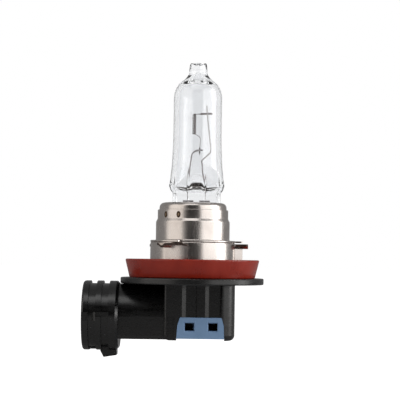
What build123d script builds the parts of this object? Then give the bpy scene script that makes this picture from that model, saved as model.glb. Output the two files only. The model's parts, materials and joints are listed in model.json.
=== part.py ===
from build123d import *
import math
import os

# Headlight bulb with a 19 mm bayonet cap and a right-angle two-pin connector.
# Frame: the origin is on the axis of the bayonet ring, in its reference plane, which is the underside of
# the three lugs' beads. +Z points to the bulb's tip, the connector opens towards -X. Millimetres.

# ---- driving dimensions: quartz burner ----
BURNER_X = 0.75                 # the burner stands a little off the ring's axis
BULB_R = 5.42                   # outer radius of the plain tube
BULB_BELLY_R = 6.09             # widest radius, just above the pinch
BULB_WALL = 1.1
BULB_BOTTOM_Z = 12.5            # the round part ends here
BELLY_Z = 13.9
TUBE_START_Z = 24.0
TUBE_END_Z = 33.9
DOME_TOP_Z = 37.8               # outer dome meets the tip's neck
TIP_NECK_R = 2.07
TIP_R = 1.75
TIP_Z = 42.0
CAVITY_BOTTOM_Z = 13.9
CAVITY_TOP_Z = 37.2
PINCH_WIDTH = 10.8
PINCH_WEB_T = 2.4               # the thin panels over the foils
PINCH_RIB_T = 3.3               # the raised middle band and the two edges
PINCH_BAND_W = 3.4
PINCH_EDGE_W = 0.9
PINCH_BOTTOM_Z = 0.8

# ---- driving dimensions: filament, wires and foils ----
COIL_BOTTOM_Z = 25.65
COIL_TURNS = 12
COIL_PITCH = 0.4
COIL_WIRE_R = 0.13
COIL_R = 0.37                   # to the middle of the wire
LEG_R = 0.12
LEG_Y = 0.42                    # the coil's legs pass behind the support wires
OVERWIND_R = 0.26
SUPPORT_WIRE_R = 0.17
LEAD_R = 0.3
LEAD_X = (-1.15, 2.55)
LEAD_BOTTOM_Z = -15.6
FOIL_W = 2.4
FOIL_T = 0.05
FOIL_TOP_Z = 10.8
FOIL_BOTTOM_Z = 3.4
FOIL_LAP = 1.2                  # the length over which a wire is welded to its foil

# ---- driving dimensions: metal cap ----
SHEET = 0.35
CUP_R = 7.56
CUP_TOP_Z = 10.2
CUP_SHOULDER_R = 1.1
CUP_BOTTOM_Z = 2.2
SLEEVE_UPPER_R = 7.93
SLEEVE_LOWER_R = 8.29
SLEEVE_TOP_Z = 8.6
SLEEVE_STEP_Z = (6.6, 5.9)      # the step's upper and lower ends
FLANGE_TOP_Z = 1.75
FLANGE_BOTTOM_Z = 1.35
RING_R = 9.5                    # the cap's 19 mm pilot diameter
RING_WALL = 0.4
RING_BOTTOM_Z = -5.0
LUG_R = 12.5
LUG_ANGLE = 34.0
LUG_T = 0.5
LUG_Z = 0.55                    # underside of the lug's sheet
LUG_DIRECTIONS = (-112.4, 7.6, 127.6)
BEAD_R = 0.8
BEAD_OFFSET = -10.0             # degrees from the middle of the lug
WELD_Z = 7.4
WELD_SIZE = (1.0, 1.5)          # width and height of one laser spot
WELD_DIRECTIONS = (-139.0, -113.4)

# ---- driving dimensions: seal ----
SEAL_TOP_R = 15.13
SEAL_BOTTOM_R = 14.09
SEAL_TOP_Z = -2.48
SEAL_INNER_R = 11.42

# ---- driving dimensions: plastic base ----
FLANGE_R = 16.07
DISC_TOP_Z = -6.6
DISC_BOTTOM_Z = -8.0
COLLAR_R = 11.4
COLLAR_TOP_Z = -3.0
WELL_R = 8.6
WEB_TOP_Z = -6.2
BOX_X = (-6.0, 9.55)
BOX_HALF_Y = 8.0
BOX_BOTTOM_Z = -20.3
CHAMBER_X = (-4.4, 7.9)
CHAMBER_HALF_Y = 6.5
CHAMBER_TOP_Z = -9.6
NECK_X = (-16.6, -6.0)
NECK_R = 7.1
SOCKET_Z = -15.2                # height of the connector's middle
SHROUD_X = (-24.15, -16.15)
SHROUD_HALF = (9.0, 7.7)        # half width in Y, half height in Z
SHROUD_GROOVE_D = 0.6
SHROUD_GROOVES_X = ((-22.7, -21.05), (-19.85, -18.25))
CAVITY_HALF = (6.9, 5.6)
CAVITY_END_X = -17.2
SLOTS_X = ((-2.1, -1.25, 1.0, 1.2), (2.98, 3.8, 6.2, 6.4))   # rim, floor, floor, rim
SLOT_D = 0.5

# ---- driving dimensions: terminals and their cover ----
BLADE_W = 2.8
BLADE_T = 0.8
BLADE_Y = 2.6
BLADE_TIP_X = -23.2
TAB_W = 0.8
COVER_TOP_Z = -15.2
COVER_BOTTOM_Z = -19.85
COVER_FLOOR_T = 1.2
COVER_PLAY = 0.08
COVER_WINDOWS_X = ((-1.43, 0.6), (3.71, 5.74))
WINDOW_CHAMFER = 0.2
COVER_WINDOW_Z = (-18.1, -16.4)


def block(x, y, z):
    """A box between two corners, each axis given as (low, high)."""
    size = Box(x[1] - x[0], y[1] - y[0], z[1] - z[0])
    return Pos((x[0] + x[1]) / 2, (y[0] + y[1]) / 2, (z[0] + z[1]) / 2) * size


def disc(radius, z, at=(0, 0)):
    """A round plate or rod on Z, from z[0] to z[1]."""
    return Pos(at[0], at[1], (z[0] + z[1]) / 2) * Cylinder(radius, z[1] - z[0])


def tube(outer, inner, z):
    return disc(outer, z) - disc(inner, z)


def turned(points, x=0.0):
    """A solid of revolution from (radius, z) points joined by straight lines, about a vertical axis at x."""
    outline = make_face(Plane.XZ * Polyline(*points, close=True))
    return Pos(x, 0, 0) * revolve(outline, Axis.Z)


def prism(points, y):
    """An outline of (x, z) points, made solid from y[0] to y[1]."""
    plane = Plane(origin=(0, y[1], 0), x_dir=(1, 0, 0), z_dir=(0, -1, 0))
    return extrude(plane * make_face(Polyline(*points, close=True)), y[1] - y[0])


def rod(start, end, radius):
    """A straight round wire between two points."""
    a = Vector(*start)
    b = Vector(*end)
    return extrude(Plane(origin=a, z_dir=b - a) * Circle(radius), (b - a).length)


def bent_wire(points, radius, bend):
    """A round wire along (x, z) points in the plane Y = 0, with its corners rounded."""
    path = FilletPolyline(*[(x, 0, z) for x, z in points], radius=bend)
    return sweep(Plane(origin=path @ 0, z_dir=path % 0) * Circle(radius), path=path)


def sector(outer, inner, z, direction, width):
    """A flat piece of a ring, width degrees wide about a direction in degrees."""
    reach = outer * 1.5
    half = math.radians(width / 2)
    edge = (reach * math.cos(half), reach * math.sin(half))
    wedge = make_face(Polyline((0, 0), edge, (edge[0], -edge[1]), close=True))
    piece = tube(outer, inner, z) & (Pos(0, 0, z[0]) * extrude(wedge, z[1] - z[0]))
    return Rot(0, 0, direction) * piece


def stadium(half_y, half_z, x):
    """A rounded bar along X with a round-ended section, centred on the socket."""
    section = Plane(origin=(x[0], 0, SOCKET_Z), x_dir=(0, 1, 0), z_dir=(1, 0, 0))
    return extrude(section * SlotOverall(half_y * 2, half_z * 2), x[1] - x[0])


# ---- inside the burner ----

def make_filament():
    """The coil, drawn as closed turns on one core, with its two straight legs."""
    turns = []
    for i in range(COIL_TURNS):
        z = COIL_BOTTOM_Z + COIL_WIRE_R + i * COIL_PITCH
        turns.append(Pos(0, 0, z) * Torus(COIL_R, COIL_WIRE_R))
    height = (COIL_BOTTOM_Z + COIL_WIRE_R, COIL_BOTTOM_Z + COIL_WIRE_R + (COIL_TURNS - 1) * COIL_PITCH)
    core = tube(COIL_R + 0.06, COIL_R - 0.06, height)
    upper = rod((0.0, LEG_Y, height[1]), (4.1, LEG_Y, height[1] + 0.2), LEG_R)
    turn_out = rod((0.0, LEG_Y, height[0]), (1.4, LEG_Y, height[0] - 0.6), LEG_R)
    knee = Pos(1.4, LEG_Y, height[0] - 0.6) * Sphere(LEG_R)
    lower = rod((1.4, LEG_Y, height[0] - 0.6), (1.27, LEG_Y, 21.0), LEG_R)
    return core + turns + upper + turn_out + knee + lower


def make_upper_leg_sleeve(filament):
    return rod((1.42, LEG_Y, 30.25), (4.0, LEG_Y, 30.37), OVERWIND_R) - filament


def make_lower_leg_sleeve(filament):
    return rod((1.31, LEG_Y, 22.7), (1.28, LEG_Y, 21.4), OVERWIND_R) - filament


LONG_WIRE = ((2.55, 9.6), (2.45, 12.0), (2.05, 16.7), (1.8, 19.6), (3.75, 21.8), (3.35, 26.5), (2.8, 32.2))
SHORT_WIRE = ((-1.15, 9.6), (-1.22, 12.0), (-0.9, 16.9), (-0.5, 20.9), (0.3, 21.8), (2.05, 22.1))


def make_foil(x):
    return block((x - FOIL_W / 2, x + FOIL_W / 2), (-FOIL_T / 2, FOIL_T / 2), (FOIL_BOTTOM_Z, FOIL_TOP_Z))


def make_lead(x, foil):
    return disc(LEAD_R, (LEAD_BOTTOM_Z, FOIL_BOTTOM_Z + FOIL_LAP), (x, 0)) - foil


# ---- the glass ----

def bulb_outline():
    """The outer outline of the round part, from the axis at the bottom round to the axis at the tip."""
    belly = Spline(
        (PINCH_WIDTH / 2, BULB_BOTTOM_Z),
        (BULB_BELLY_R, BELLY_Z),
        (5.73, 17.9),
        (BULB_R, TUBE_START_Z),
        tangents=((0.6, 0.8), (0, 1)),
    )
    wall = Line((BULB_R, TUBE_START_Z), (BULB_R, TUBE_END_Z))
    dome = TangentArc((BULB_R, TUBE_END_Z), (3.2, DOME_TOP_Z), tangent=(0, 1))
    neck = Spline((3.2, DOME_TOP_Z), (TIP_NECK_R, DOME_TOP_Z + 1.5), tangents=(dome % 1, (-0.1, 1)))
    tip = Polyline((TIP_NECK_R, DOME_TOP_Z + 1.5), (TIP_R, TIP_Z), (1.1, TIP_Z), (0, TIP_Z - 0.6))
    axis = Polyline((0, TIP_Z - 0.6), (0, BULB_BOTTOM_Z), (PINCH_WIDTH / 2, BULB_BOTTOM_Z))
    return make_face(Plane.XZ * (belly + wall + dome + neck + tip + axis))


def cavity_outline():
    inner = BULB_R - BULB_WALL
    floor = Line((0, CAVITY_BOTTOM_Z), (BULB_BELLY_R - BULB_WALL - 0.9, CAVITY_BOTTOM_Z))
    belly = Spline(floor @ 1, (4.85, 15.6), (inner, TUBE_START_Z), tangents=((1, 0.1), (0, 1)))
    wall = Line((inner, TUBE_START_Z), (inner, TUBE_END_Z))
    dome = Spline((inner, TUBE_END_Z), (0, CAVITY_TOP_Z), tangents=((0, 1.3), (-1.3, 0)))
    axis = Line((0, CAVITY_TOP_Z), (0, CAVITY_BOTTOM_Z))
    return make_face(Plane.XZ * (floor + belly + wall + dome + axis))


def make_quartz_bulb(buried):
    """The envelope: a domed tube with its pinch below, pressed round the foils and wires."""
    z = (PINCH_BOTTOM_Z, BELLY_Z - 0.4)
    half = PINCH_WIDTH / 2
    pinch = block((-half, half), (-PINCH_WEB_T / 2, PINCH_WEB_T / 2), z)
    pinch += block((-PINCH_BAND_W / 2, PINCH_BAND_W / 2), (-PINCH_RIB_T / 2, PINCH_RIB_T / 2), z)
    for side in (-1, 1):
        x = sorted((side * half, side * (half - PINCH_EDGE_W)))
        pinch += block(x, (-PINCH_RIB_T / 2, PINCH_RIB_T / 2), z)
    body = revolve(bulb_outline(), Axis.Z) + pinch - revolve(cavity_outline(), Axis.Z)
    return Pos(BURNER_X, 0, 0) * body - buried


# ---- the metal cap ----

def pinch_slot(play, z):
    half_x = PINCH_WIDTH / 2 + play
    half_y = PINCH_RIB_T / 2 + play
    return block((BURNER_X - half_x, BURNER_X + half_x), (-half_y, half_y), z)


def make_pinch_clip():
    """A disc under the cup's roof with two tongues that grip the pinch's middle band."""
    roof_z = CUP_TOP_Z - SHEET
    clip = disc(CUP_R - SHEET - 0.7, (roof_z - 0.3, roof_z)) - pinch_slot(0.05, (0, roof_z + 1))
    for side in (-1, 1):
        y = sorted((side * PINCH_RIB_T / 2, side * (PINCH_RIB_T / 2 + 0.3)))
        clip += block((BURNER_X - 2.2, BURNER_X + 2.2), y, (3.2, roof_z))
    return clip


def make_burner_cup():
    """A drawn cup, upside down, whose roof holds the burner."""
    cup = disc(CUP_R, (CUP_BOTTOM_Z, CUP_TOP_Z))
    cup = fillet(cup.edges().group_by(Axis.Z)[-1], CUP_SHOULDER_R)
    hollow = disc(CUP_R - SHEET, (CUP_BOTTOM_Z - 1, CUP_TOP_Z - SHEET))
    hollow = fillet(hollow.edges().group_by(Axis.Z)[-1], CUP_SHOULDER_R - SHEET)
    return cup - hollow - pinch_slot(0.15, (5, CUP_TOP_Z + 1))


def make_cap_sleeve():
    """The stepped sleeve round the cup, with the flange that is welded to the ring and its three ears."""
    upper_z, lower_z = SLEEVE_STEP_Z
    sleeve = turned((
        (SLEEVE_UPPER_R - SHEET, SLEEVE_TOP_Z),
        (SLEEVE_UPPER_R, SLEEVE_TOP_Z),
        (SLEEVE_UPPER_R, upper_z),
        (SLEEVE_LOWER_R, lower_z),
        (SLEEVE_LOWER_R, FLANGE_TOP_Z),
        (RING_R, FLANGE_TOP_Z),
        (RING_R, FLANGE_BOTTOM_Z),
        (SLEEVE_LOWER_R - SHEET, FLANGE_BOTTOM_Z),
        (SLEEVE_LOWER_R - SHEET, lower_z),
        (SLEEVE_UPPER_R - SHEET, upper_z),
    ))
    for direction in LUG_DIRECTIONS:
        sleeve += sector(11.3, RING_R - 0.5, (FLANGE_BOTTOM_Z, FLANGE_TOP_Z - 0.05), direction, 16)
    return sleeve


def make_weld_spots():
    """Four laser spots, in two pairs, that join the sleeve to the cup."""
    outward = Plane(origin=(SLEEVE_UPPER_R - 0.5, 0, WELD_Z), x_dir=(0, 1, 0), z_dir=(1, 0, 0))
    bar = extrude(outward * Ellipse(WELD_SIZE[0] / 2, WELD_SIZE[1] / 2), 1.0)
    skin = tube(SLEEVE_UPPER_R + 0.05, SLEEVE_UPPER_R, (WELD_Z - 1, WELD_Z + 1))
    spots = []
    for turn in (0, 180):
        for direction in WELD_DIRECTIONS:
            spots.append((Rot(0, 0, direction + turn) * bar & skin).solid())
    return Compound(children=spots)


def make_bayonet_ring():
    """The pilot ring with three lugs. Each lug rests on a pressed bead, and one carries a stop tab."""
    top_z = FLANGE_BOTTOM_Z
    ring = tube(RING_R, RING_R - RING_WALL, (RING_BOTTOM_Z, top_z))
    ring += tube(RING_R - RING_WALL / 2, 8.1, (top_z - RING_WALL, top_z))
    for direction in LUG_DIRECTIONS:
        ring += sector(LUG_R, RING_R - RING_WALL / 2, (LUG_Z, LUG_Z + LUG_T), direction, LUG_ANGLE)
    bead = rod((RING_R - 0.1, 0, BEAD_R), (LUG_R - 0.25, 0, BEAD_R), BEAD_R)
    bead += block((RING_R, LUG_R - 0.25), (-0.3, 0.3), (0, 0.4))
    groove = rod((RING_R + 0.1, 0, BEAD_R + 0.4), (LUG_R + 1, 0, BEAD_R + 0.4), BEAD_R - 0.4)
    above = tube(LUG_R + 1, RING_R + 0.01, (LUG_Z + LUG_T, 3)) + disc(LUG_R, (top_z, 3))
    for direction in LUG_DIRECTIONS:
        turn = Rot(0, 0, direction + BEAD_OFFSET)
        ring = ring + turn * bead - above - turn * groove
    stop = Rot(0, 0, LUG_DIRECTIONS[1]) * block((RING_R - 0.1, 11.2), (-1.6, -1.2), (-2.9, LUG_Z + 0.1))
    return ring + stop


# ---- the seal ----

def make_seal_ring():
    """A tapered silicone ring with a groove in its top."""
    seal = turned((
        (SEAL_INNER_R, DISC_TOP_Z),
        (SEAL_BOTTOM_R, DISC_TOP_Z),
        (SEAL_TOP_R, SEAL_TOP_Z),
        (14.2, SEAL_TOP_Z),
        (13.5, SEAL_TOP_Z - 1.0),
        (12.7, SEAL_TOP_Z - 1.0),
        (12.2, SEAL_TOP_Z - 0.1),
        (SEAL_INNER_R, SEAL_TOP_Z - 0.3),
    ))
    rims = seal.edges().filter_by(GeomType.CIRCLE).filter_by(lambda edge: edge.radius > SEAL_BOTTOM_R - 0.05)
    return fillet(rims, 0.3)


# ---- the plastic base ----

def make_shroud():
    """The ribbed round-ended sleeve round the two blades, with a guide on each side and a latch nib below."""
    shroud = stadium(*SHROUD_HALF, SHROUD_X)
    shroud = fillet(shroud.edges().group_by(Axis.X)[0], 0.5)
    shroud = chamfer(shroud.edges().group_by(Axis.X)[-1], 0.55)
    for x in SHROUD_GROOVES_X:
        smaller = [half - SHROUD_GROOVE_D for half in SHROUD_HALF]
        shroud -= stadium(SHROUD_HALF[0] + 1, SHROUD_HALF[1] + 1, x) - stadium(*smaller, x)
    for side in (-1, 1):
        shroud -= block((-24.8, -21.0), sorted((side * 8.8, side * 10)), (SOCKET_Z - 0.95, SOCKET_Z + 0.95))
        shroud -= block((-21.0, -18.1), sorted((side * 8.2, side * 10)), (SOCKET_Z, SOCKET_Z + 0.95))
        wedge = ((-21.8, side * 8.3), (-21.0, side * 8.9), (-21.0, side * 8.0))
        key = make_face(Polyline(*wedge, close=True))
        shroud += extrude(Pos(0, 0, SOCKET_Z - 0.95) * key, 1.9, dir=(0, 0, 1))
    low = SOCKET_Z - SHROUD_HALF[1]
    shroud += block((-23.0, -21.0), (-2.3, 2.3), (low + 0.25, low + 0.8))
    latch = (
        (-20.2, low + 0.8),
        (-20.2, low - 0.2),
        (-19.46, low - 1.55),
        (-16.6, low - 1.1),
        (-16.6, low + 0.8),
    )
    return shroud + prism(latch, (-2.3, 2.3))


def make_box():
    """The square block below the disc, with its chamber, front slots and the opening for the cover."""
    box = block(BOX_X, (-BOX_HALF_Y, BOX_HALF_Y), (BOX_BOTTOM_Z, DISC_BOTTOM_Z + 0.5))
    uprights = box.edges().filter_by(Axis.Z)
    box = fillet(uprights.group_by(Axis.X)[-1], 3.2)
    box = fillet(box.edges().filter_by(Axis.Z).group_by(Axis.X)[0], 0.5)
    rim = [edge for edge in box.edges().group_by(Axis.Z)[0] if edge.center().X > BOX_X[0] + 0.3]
    return fillet(rim, 1.2)


def box_cuts():
    """What the box is hollowed by, except for the cover's opening."""
    cuts = block(CHAMBER_X, (-CHAMBER_HALF_Y, CHAMBER_HALF_Y), (BOX_BOTTOM_Z - 1, CHAMBER_TOP_Z))
    rim, floor = -BOX_HALF_Y, SLOT_D - BOX_HALF_Y
    for left, floor_left, floor_right, right in SLOTS_X:
        walls = ((left, rim), (floor_left, floor), (floor_right, floor), (right, rim))
        face = make_face(Polyline((left, rim - 1), *walls, (right, rim - 1), close=True))
        cuts += extrude(Pos(0, 0, COVER_TOP_Z - 0.1) * face, DISC_BOTTOM_Z - COVER_TOP_Z + 0.099, dir=(0, 0, 1))
    cuts += block((-5.3, -3.75), (-BOX_HALF_Y - 1, 0.7 - BOX_HALF_Y), (BOX_BOTTOM_Z - 1, COVER_TOP_Z))
    return cuts


def make_neck():
    """The bar between the box and the shroud: half round above its parting line, square below."""
    section = Plane(origin=(NECK_X[0] - 0.5, 0, SOCKET_Z), x_dir=(0, 1, 0), z_dir=(1, 0, 0))
    low = BOX_BOTTOM_Z - SOCKET_Z + 0.15
    face = section * (Circle(NECK_R) + Pos(0, low / 2) * Rectangle(2 * NECK_R, -low))
    face -= section * (Pos(0, low - 5) * Rectangle(4 * NECK_R, 10))
    neck = extrude(face, NECK_X[1] - NECK_X[0] + 1.0)
    bottom = neck.edges().filter_by(Axis.X).group_by(Axis.Z)[0]
    return fillet(bottom, 0.8)


def make_base_housing(inserts):
    """The black moulding. The ring, the terminals and the leads are let into it."""
    base = tube(FLANGE_R, WELL_R, (DISC_BOTTOM_Z, DISC_TOP_Z)) + disc(WELL_R + 1, (DISC_BOTTOM_Z, WEB_TOP_Z))
    rims = base.edges().filter_by(GeomType.CIRCLE).filter_by(lambda edge: edge.radius > FLANGE_R - 0.01)
    base = fillet(rims, 0.25)
    base += tube(COLLAR_R, RING_R + 0.02, (DISC_TOP_Z - 0.2, COLLAR_TOP_Z))
    base += tube(COLLAR_R, WELL_R, (DISC_TOP_Z - 0.2, RING_BOTTOM_Z))
    base = base + make_box() - box_cuts() + make_neck() + make_shroud()
    base -= stadium(*CAVITY_HALF, (SHROUD_X[0] - 1, CAVITY_END_X))
    base -= cover_outline(COVER_PLAY, (-BOX_HALF_Y - 1, -CHAMBER_HALF_Y + 0.01), COVER_BOTTOM_Z - 2)
    for x in LEAD_X:
        base -= disc(LEAD_R + 0.1, (CHAMBER_TOP_Z - 1, WEB_TOP_Z + 1), (x, 0))
        base -= disc(1.1, (WEB_TOP_Z - 1.0, WEB_TOP_Z + 1), (x, 0))
    return base - inserts


def make_lead_seals():
    """Two beads of compound that close the wells round the leads."""
    seals = []
    for x in LEAD_X:
        well = disc(1.08, (WEB_TOP_Z - 1.0, WEB_TOP_Z - 0.1), (x, 0))
        seals.append((well - disc(LEAD_R + 0.005, (WEB_TOP_Z - 2, WEB_TOP_Z + 1), (x, 0))).solid())
    return Compound(children=seals)


# ---- terminals and cover ----

def make_terminal(side, lead_x):
    """A flat blade from the socket to its lead, with a tab bent across to the lead."""
    half = BLADE_W / 2
    y = sorted((side * (BLADE_Y - BLADE_T / 2), side * (BLADE_Y + BLADE_T / 2)))
    blade = block((BLADE_TIP_X, lead_x + TAB_W / 2), y, (SOCKET_Z - half, SOCKET_Z + half))
    blade = chamfer(blade.edges().group_by(Axis.X)[0], 0.25)
    tab = sorted((side * (LEAD_R + 0.005), side * (BLADE_Y - BLADE_T / 2 + 0.01)))
    return blade + block((lead_x - TAB_W / 2, lead_x + TAB_W / 2), tab, (SOCKET_Z - half, SOCKET_Z + half))


def cover_outline(play, y, bottom_z):
    """The cover's front panel, whose sides lean in at the top, grown by a running clearance."""
    points = (
        (-2.5 - play, COVER_TOP_Z + play),
        (6.6 + play, COVER_TOP_Z + play),
        (7.1 + play, -16.9),
        (7.2 + play, bottom_z),
        (-3.25 - play, bottom_z),
        (-3.05 - play, -16.9),
    )
    return prism(points, y)


def make_terminal_cover():
    """The blue snap-in cover: a front panel with two windows, a floor and a rib between the terminals."""
    cover = cover_outline(0, (-BOX_HALF_Y, -CHAMBER_HALF_Y + 0.2), COVER_BOTTOM_Z)
    x = (CHAMBER_X[0] + COVER_PLAY, CHAMBER_X[1] - COVER_PLAY)
    half_y = CHAMBER_HALF_Y - COVER_PLAY
    floor_top = COVER_BOTTOM_Z + COVER_FLOOR_T
    cover += block(x, (-half_y, half_y), (COVER_BOTTOM_Z, floor_top))
    cover += block((0.25, 1.25), (-1.9, 1.9), (floor_top - 0.1, -13.2))
    for end in (-1, 1):
        rail = (BURNER_X + end * 3.5 - 0.6, BURNER_X + end * 3.5 + 0.6)
        cover += block(rail, (half_y - 1.0, half_y), (floor_top - 0.1, -14.5))
    for window in COVER_WINDOWS_X:
        cover -= block(window, (-BOX_HALF_Y - 1, -CHAMBER_HALF_Y + 1), COVER_WINDOW_Z)
    front = cover.edges().filter_by_position(Axis.Y, -BOX_HALF_Y - 0.01, -BOX_HALF_Y + 0.01)
    rows = front.filter_by_position(Axis.Z, COVER_WINDOW_Z[0] - 0.01, COVER_WINDOW_Z[1] + 0.01)
    rims = rows.filter_by_position(Axis.X, COVER_WINDOWS_X[0][0] - 0.01, COVER_WINDOWS_X[1][1] + 0.01)
    return chamfer(rims, WINDOW_CHAMFER)


def build_all():
    filament = make_filament()
    foils = [make_foil(x) for x in LEAD_X]
    leads = [make_lead(x, foil) for x, foil in zip(LEAD_X, foils)]
    short_wire = bent_wire(SHORT_WIRE, SUPPORT_WIRE_R, 0.3) - foils[0]
    long_wire = bent_wire(LONG_WIRE, SUPPORT_WIRE_R, 0.3) - foils[1]
    ring = make_bayonet_ring()
    terminals = [make_terminal(side, x) for side, x in zip((-1, 1), LEAD_X)]
    buried = foils + leads + [short_wire, long_wire]
    return {
        "quartz_bulb": make_quartz_bulb(buried),
        "filament": filament,
        "upper_leg_sleeve": make_upper_leg_sleeve(filament),
        "lower_leg_sleeve": make_lower_leg_sleeve(filament),
        "long_support_wire": long_wire,
        "short_support_wire": short_wire,
        "foil_front": foils[0],
        "foil_rear": foils[1],
        "lead_front": leads[0],
        "lead_rear": leads[1],
        "pinch_clip": make_pinch_clip(),
        "burner_cup": make_burner_cup(),
        "cap_sleeve": make_cap_sleeve(),
        "weld_spots": make_weld_spots(),
        "bayonet_ring": ring,
        "seal_ring": make_seal_ring(),
        "base_housing": make_base_housing([ring] + terminals),
        "lead_seals": make_lead_seals(),
        "terminal_front": terminals[0],
        "terminal_rear": terminals[1],
        "terminal_cover": make_terminal_cover(),
    }


os.makedirs("parts", exist_ok=True)
for name, shape in build_all().items():
    export_step(shape, f"parts/{name}.step")
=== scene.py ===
"""Headlight bulb: the visible pieces and their finishes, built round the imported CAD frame.

Lengths below are in millimetres where they are multiplied by MM, and in metres elsewhere.
"""
import bmesh
import bpy
import json
import math
from mathutils import Matrix, Vector


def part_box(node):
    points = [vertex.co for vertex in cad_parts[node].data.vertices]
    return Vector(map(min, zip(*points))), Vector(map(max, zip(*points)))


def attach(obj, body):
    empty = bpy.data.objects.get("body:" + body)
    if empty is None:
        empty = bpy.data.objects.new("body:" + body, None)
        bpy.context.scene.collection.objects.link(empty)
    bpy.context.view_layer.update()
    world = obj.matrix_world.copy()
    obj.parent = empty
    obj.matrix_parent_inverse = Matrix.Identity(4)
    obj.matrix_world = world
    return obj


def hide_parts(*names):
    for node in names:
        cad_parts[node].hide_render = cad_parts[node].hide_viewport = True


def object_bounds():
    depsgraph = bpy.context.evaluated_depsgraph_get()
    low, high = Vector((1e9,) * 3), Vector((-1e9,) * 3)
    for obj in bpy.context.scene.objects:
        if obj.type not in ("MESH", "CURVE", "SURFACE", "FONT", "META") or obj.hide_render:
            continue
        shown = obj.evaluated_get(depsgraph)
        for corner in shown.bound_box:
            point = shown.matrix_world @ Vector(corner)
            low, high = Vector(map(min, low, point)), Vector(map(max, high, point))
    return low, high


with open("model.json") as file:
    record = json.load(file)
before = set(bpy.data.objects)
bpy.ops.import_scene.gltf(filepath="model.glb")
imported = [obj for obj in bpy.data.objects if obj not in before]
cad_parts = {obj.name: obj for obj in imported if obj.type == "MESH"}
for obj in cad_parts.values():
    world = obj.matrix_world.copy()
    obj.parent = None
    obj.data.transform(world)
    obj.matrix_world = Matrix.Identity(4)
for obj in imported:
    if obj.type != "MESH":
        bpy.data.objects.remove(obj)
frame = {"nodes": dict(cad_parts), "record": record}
cad_low, cad_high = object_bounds()

MM = 0.001


# ---- sizes read from the frame, in millimetres ----

def corners(node):
    low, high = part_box(node)
    return Vector(low) / MM, Vector(high) / MM


glass_low, glass_high = corners("quartz_bulb")
cup_low, cup_high = corners("burner_cup")
sleeve_low, sleeve_high = corners("cap_sleeve")
ring_low, ring_high = corners("bayonet_ring")
seal_low, seal_high = corners("seal_ring")
weld_low, weld_high = corners("weld_spots")

BURNER_X = (glass_low.x + glass_high.x) / 2
TIP_Z = glass_high.z
BELLY_R = (glass_high.x - glass_low.x) / 2
PINCH_BOTTOM_Z = glass_low.z


# ---- camera, stage and lights ----

VIEW_DISTANCE = 0.300
EYE_HEIGHT = -0.0022
AIM = Vector((0.00153, 0, 0.01092))
PICTURE_WIDTH_AT_AIM = 0.0901
ROLL_DEGREES = 0.8


def make_camera():
    data = bpy.data.cameras.new("studio_camera")
    data.sensor_width = 36
    data.lens = data.sensor_width * VIEW_DISTANCE / PICTURE_WIDTH_AT_AIM
    data.clip_start = 0.01
    data.clip_end = 20
    camera = bpy.data.objects.new("studio_camera", data)
    bpy.context.collection.objects.link(camera)
    eye = Vector((AIM.x, -VIEW_DISTANCE, EYE_HEIGHT))
    aim = (AIM - eye).to_track_quat("-Z", "Y").to_matrix().to_4x4()
    camera.matrix_world = Matrix.Translation(eye) @ aim @ Matrix.Rotation(math.radians(ROLL_DEGREES), 4, "Z")
    bpy.context.scene.camera = camera


def make_world():
    """White where it is looked at, straight or through glass, and a dimmer studio for everything else."""
    world = bpy.data.worlds.new("studio_white")
    world.use_nodes = True
    nodes = world.node_tree.nodes
    links = world.node_tree.links
    back = nodes["Background"]
    path = nodes.new("ShaderNodeLightPath")
    seen = nodes.new("ShaderNodeMath")
    seen.operation = "MAXIMUM"
    links.new(path.outputs["Is Camera Ray"], seen.inputs[0])
    links.new(path.outputs["Is Transmission Ray"], seen.inputs[1])
    level = nodes.new("ShaderNodeMapRange")
    level.inputs["To Min"].default_value = 0.26
    level.inputs["To Max"].default_value = 1.0
    links.new(seen.outputs[0], level.inputs["Value"])
    links.new(level.outputs[0], back.inputs["Strength"])
    back.inputs["Color"].default_value = (1, 1, 1, 1)
    bpy.context.scene.world = world


def facing(azimuth, elevation, distance):
    """The place and turn of something that faces the object.
    Azimuth 0 is at the camera, positive to the right."""
    a, e = math.radians(azimuth), math.radians(elevation)
    spot = Vector((math.sin(a) * math.cos(e), -math.cos(a) * math.cos(e), math.sin(e))) * distance
    return Matrix.Translation(spot) @ (-spot).to_track_quat("-Z", "Y").to_matrix().to_4x4()


def soft_box(name, azimuth, elevation, distance, width, height, radiance, colour=(1, 1, 1)):
    data = bpy.data.lights.new(name, "AREA")
    data.shape = "RECTANGLE"
    data.size = width
    data.size_y = height
    data.energy = radiance * math.pi * width * height
    data.color = colour
    light = bpy.data.objects.new(name, data)
    bpy.context.collection.objects.link(light)
    light.matrix_world = facing(azimuth, elevation, distance)


def plane_object(name, width, height, matrix):
    mesh = bpy.data.meshes.new(name)
    x, y = width / 2, height / 2
    mesh.from_pydata([(-x, -y, 0), (x, -y, 0), (x, y, 0), (-x, y, 0)], [], [(0, 1, 2, 3)])
    mesh.transform(matrix)
    plane = bpy.data.objects.new(name, mesh)
    bpy.context.collection.objects.link(plane)
    return plane


def make_floor():
    """A pale floor that is as white as the background where it is looked at, and dimmer as a reflector.
    It lies clear of the lowest place that the cover is drawn out to."""
    travel = frame["record"]["behaviour"]["joints"][0]["range_m"][1]
    lowest = min(cad_low.z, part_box("terminal_cover")[0][2] - travel)
    floor = plane_object("floor", 6, 6, Matrix.Translation((0, 0, lowest - 0.0004)))
    white = new_material("floor_white", (0.5, 0.5, 0.5), roughness=0.9)
    tree = white.node_tree
    path = add(tree, "ShaderNodeLightPath")
    seen = math_node(tree, "MAXIMUM", path.outputs["Is Camera Ray"], path.outputs["Is Transmission Ray"])
    link_shader(tree, "Emission Strength", math_node(tree, "MULTIPLY", seen, 0.93))
    tree.nodes["Principled BSDF"].inputs["Emission Color"].default_value = (1, 1, 1, 1)
    floor.data.materials.append(white)


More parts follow.
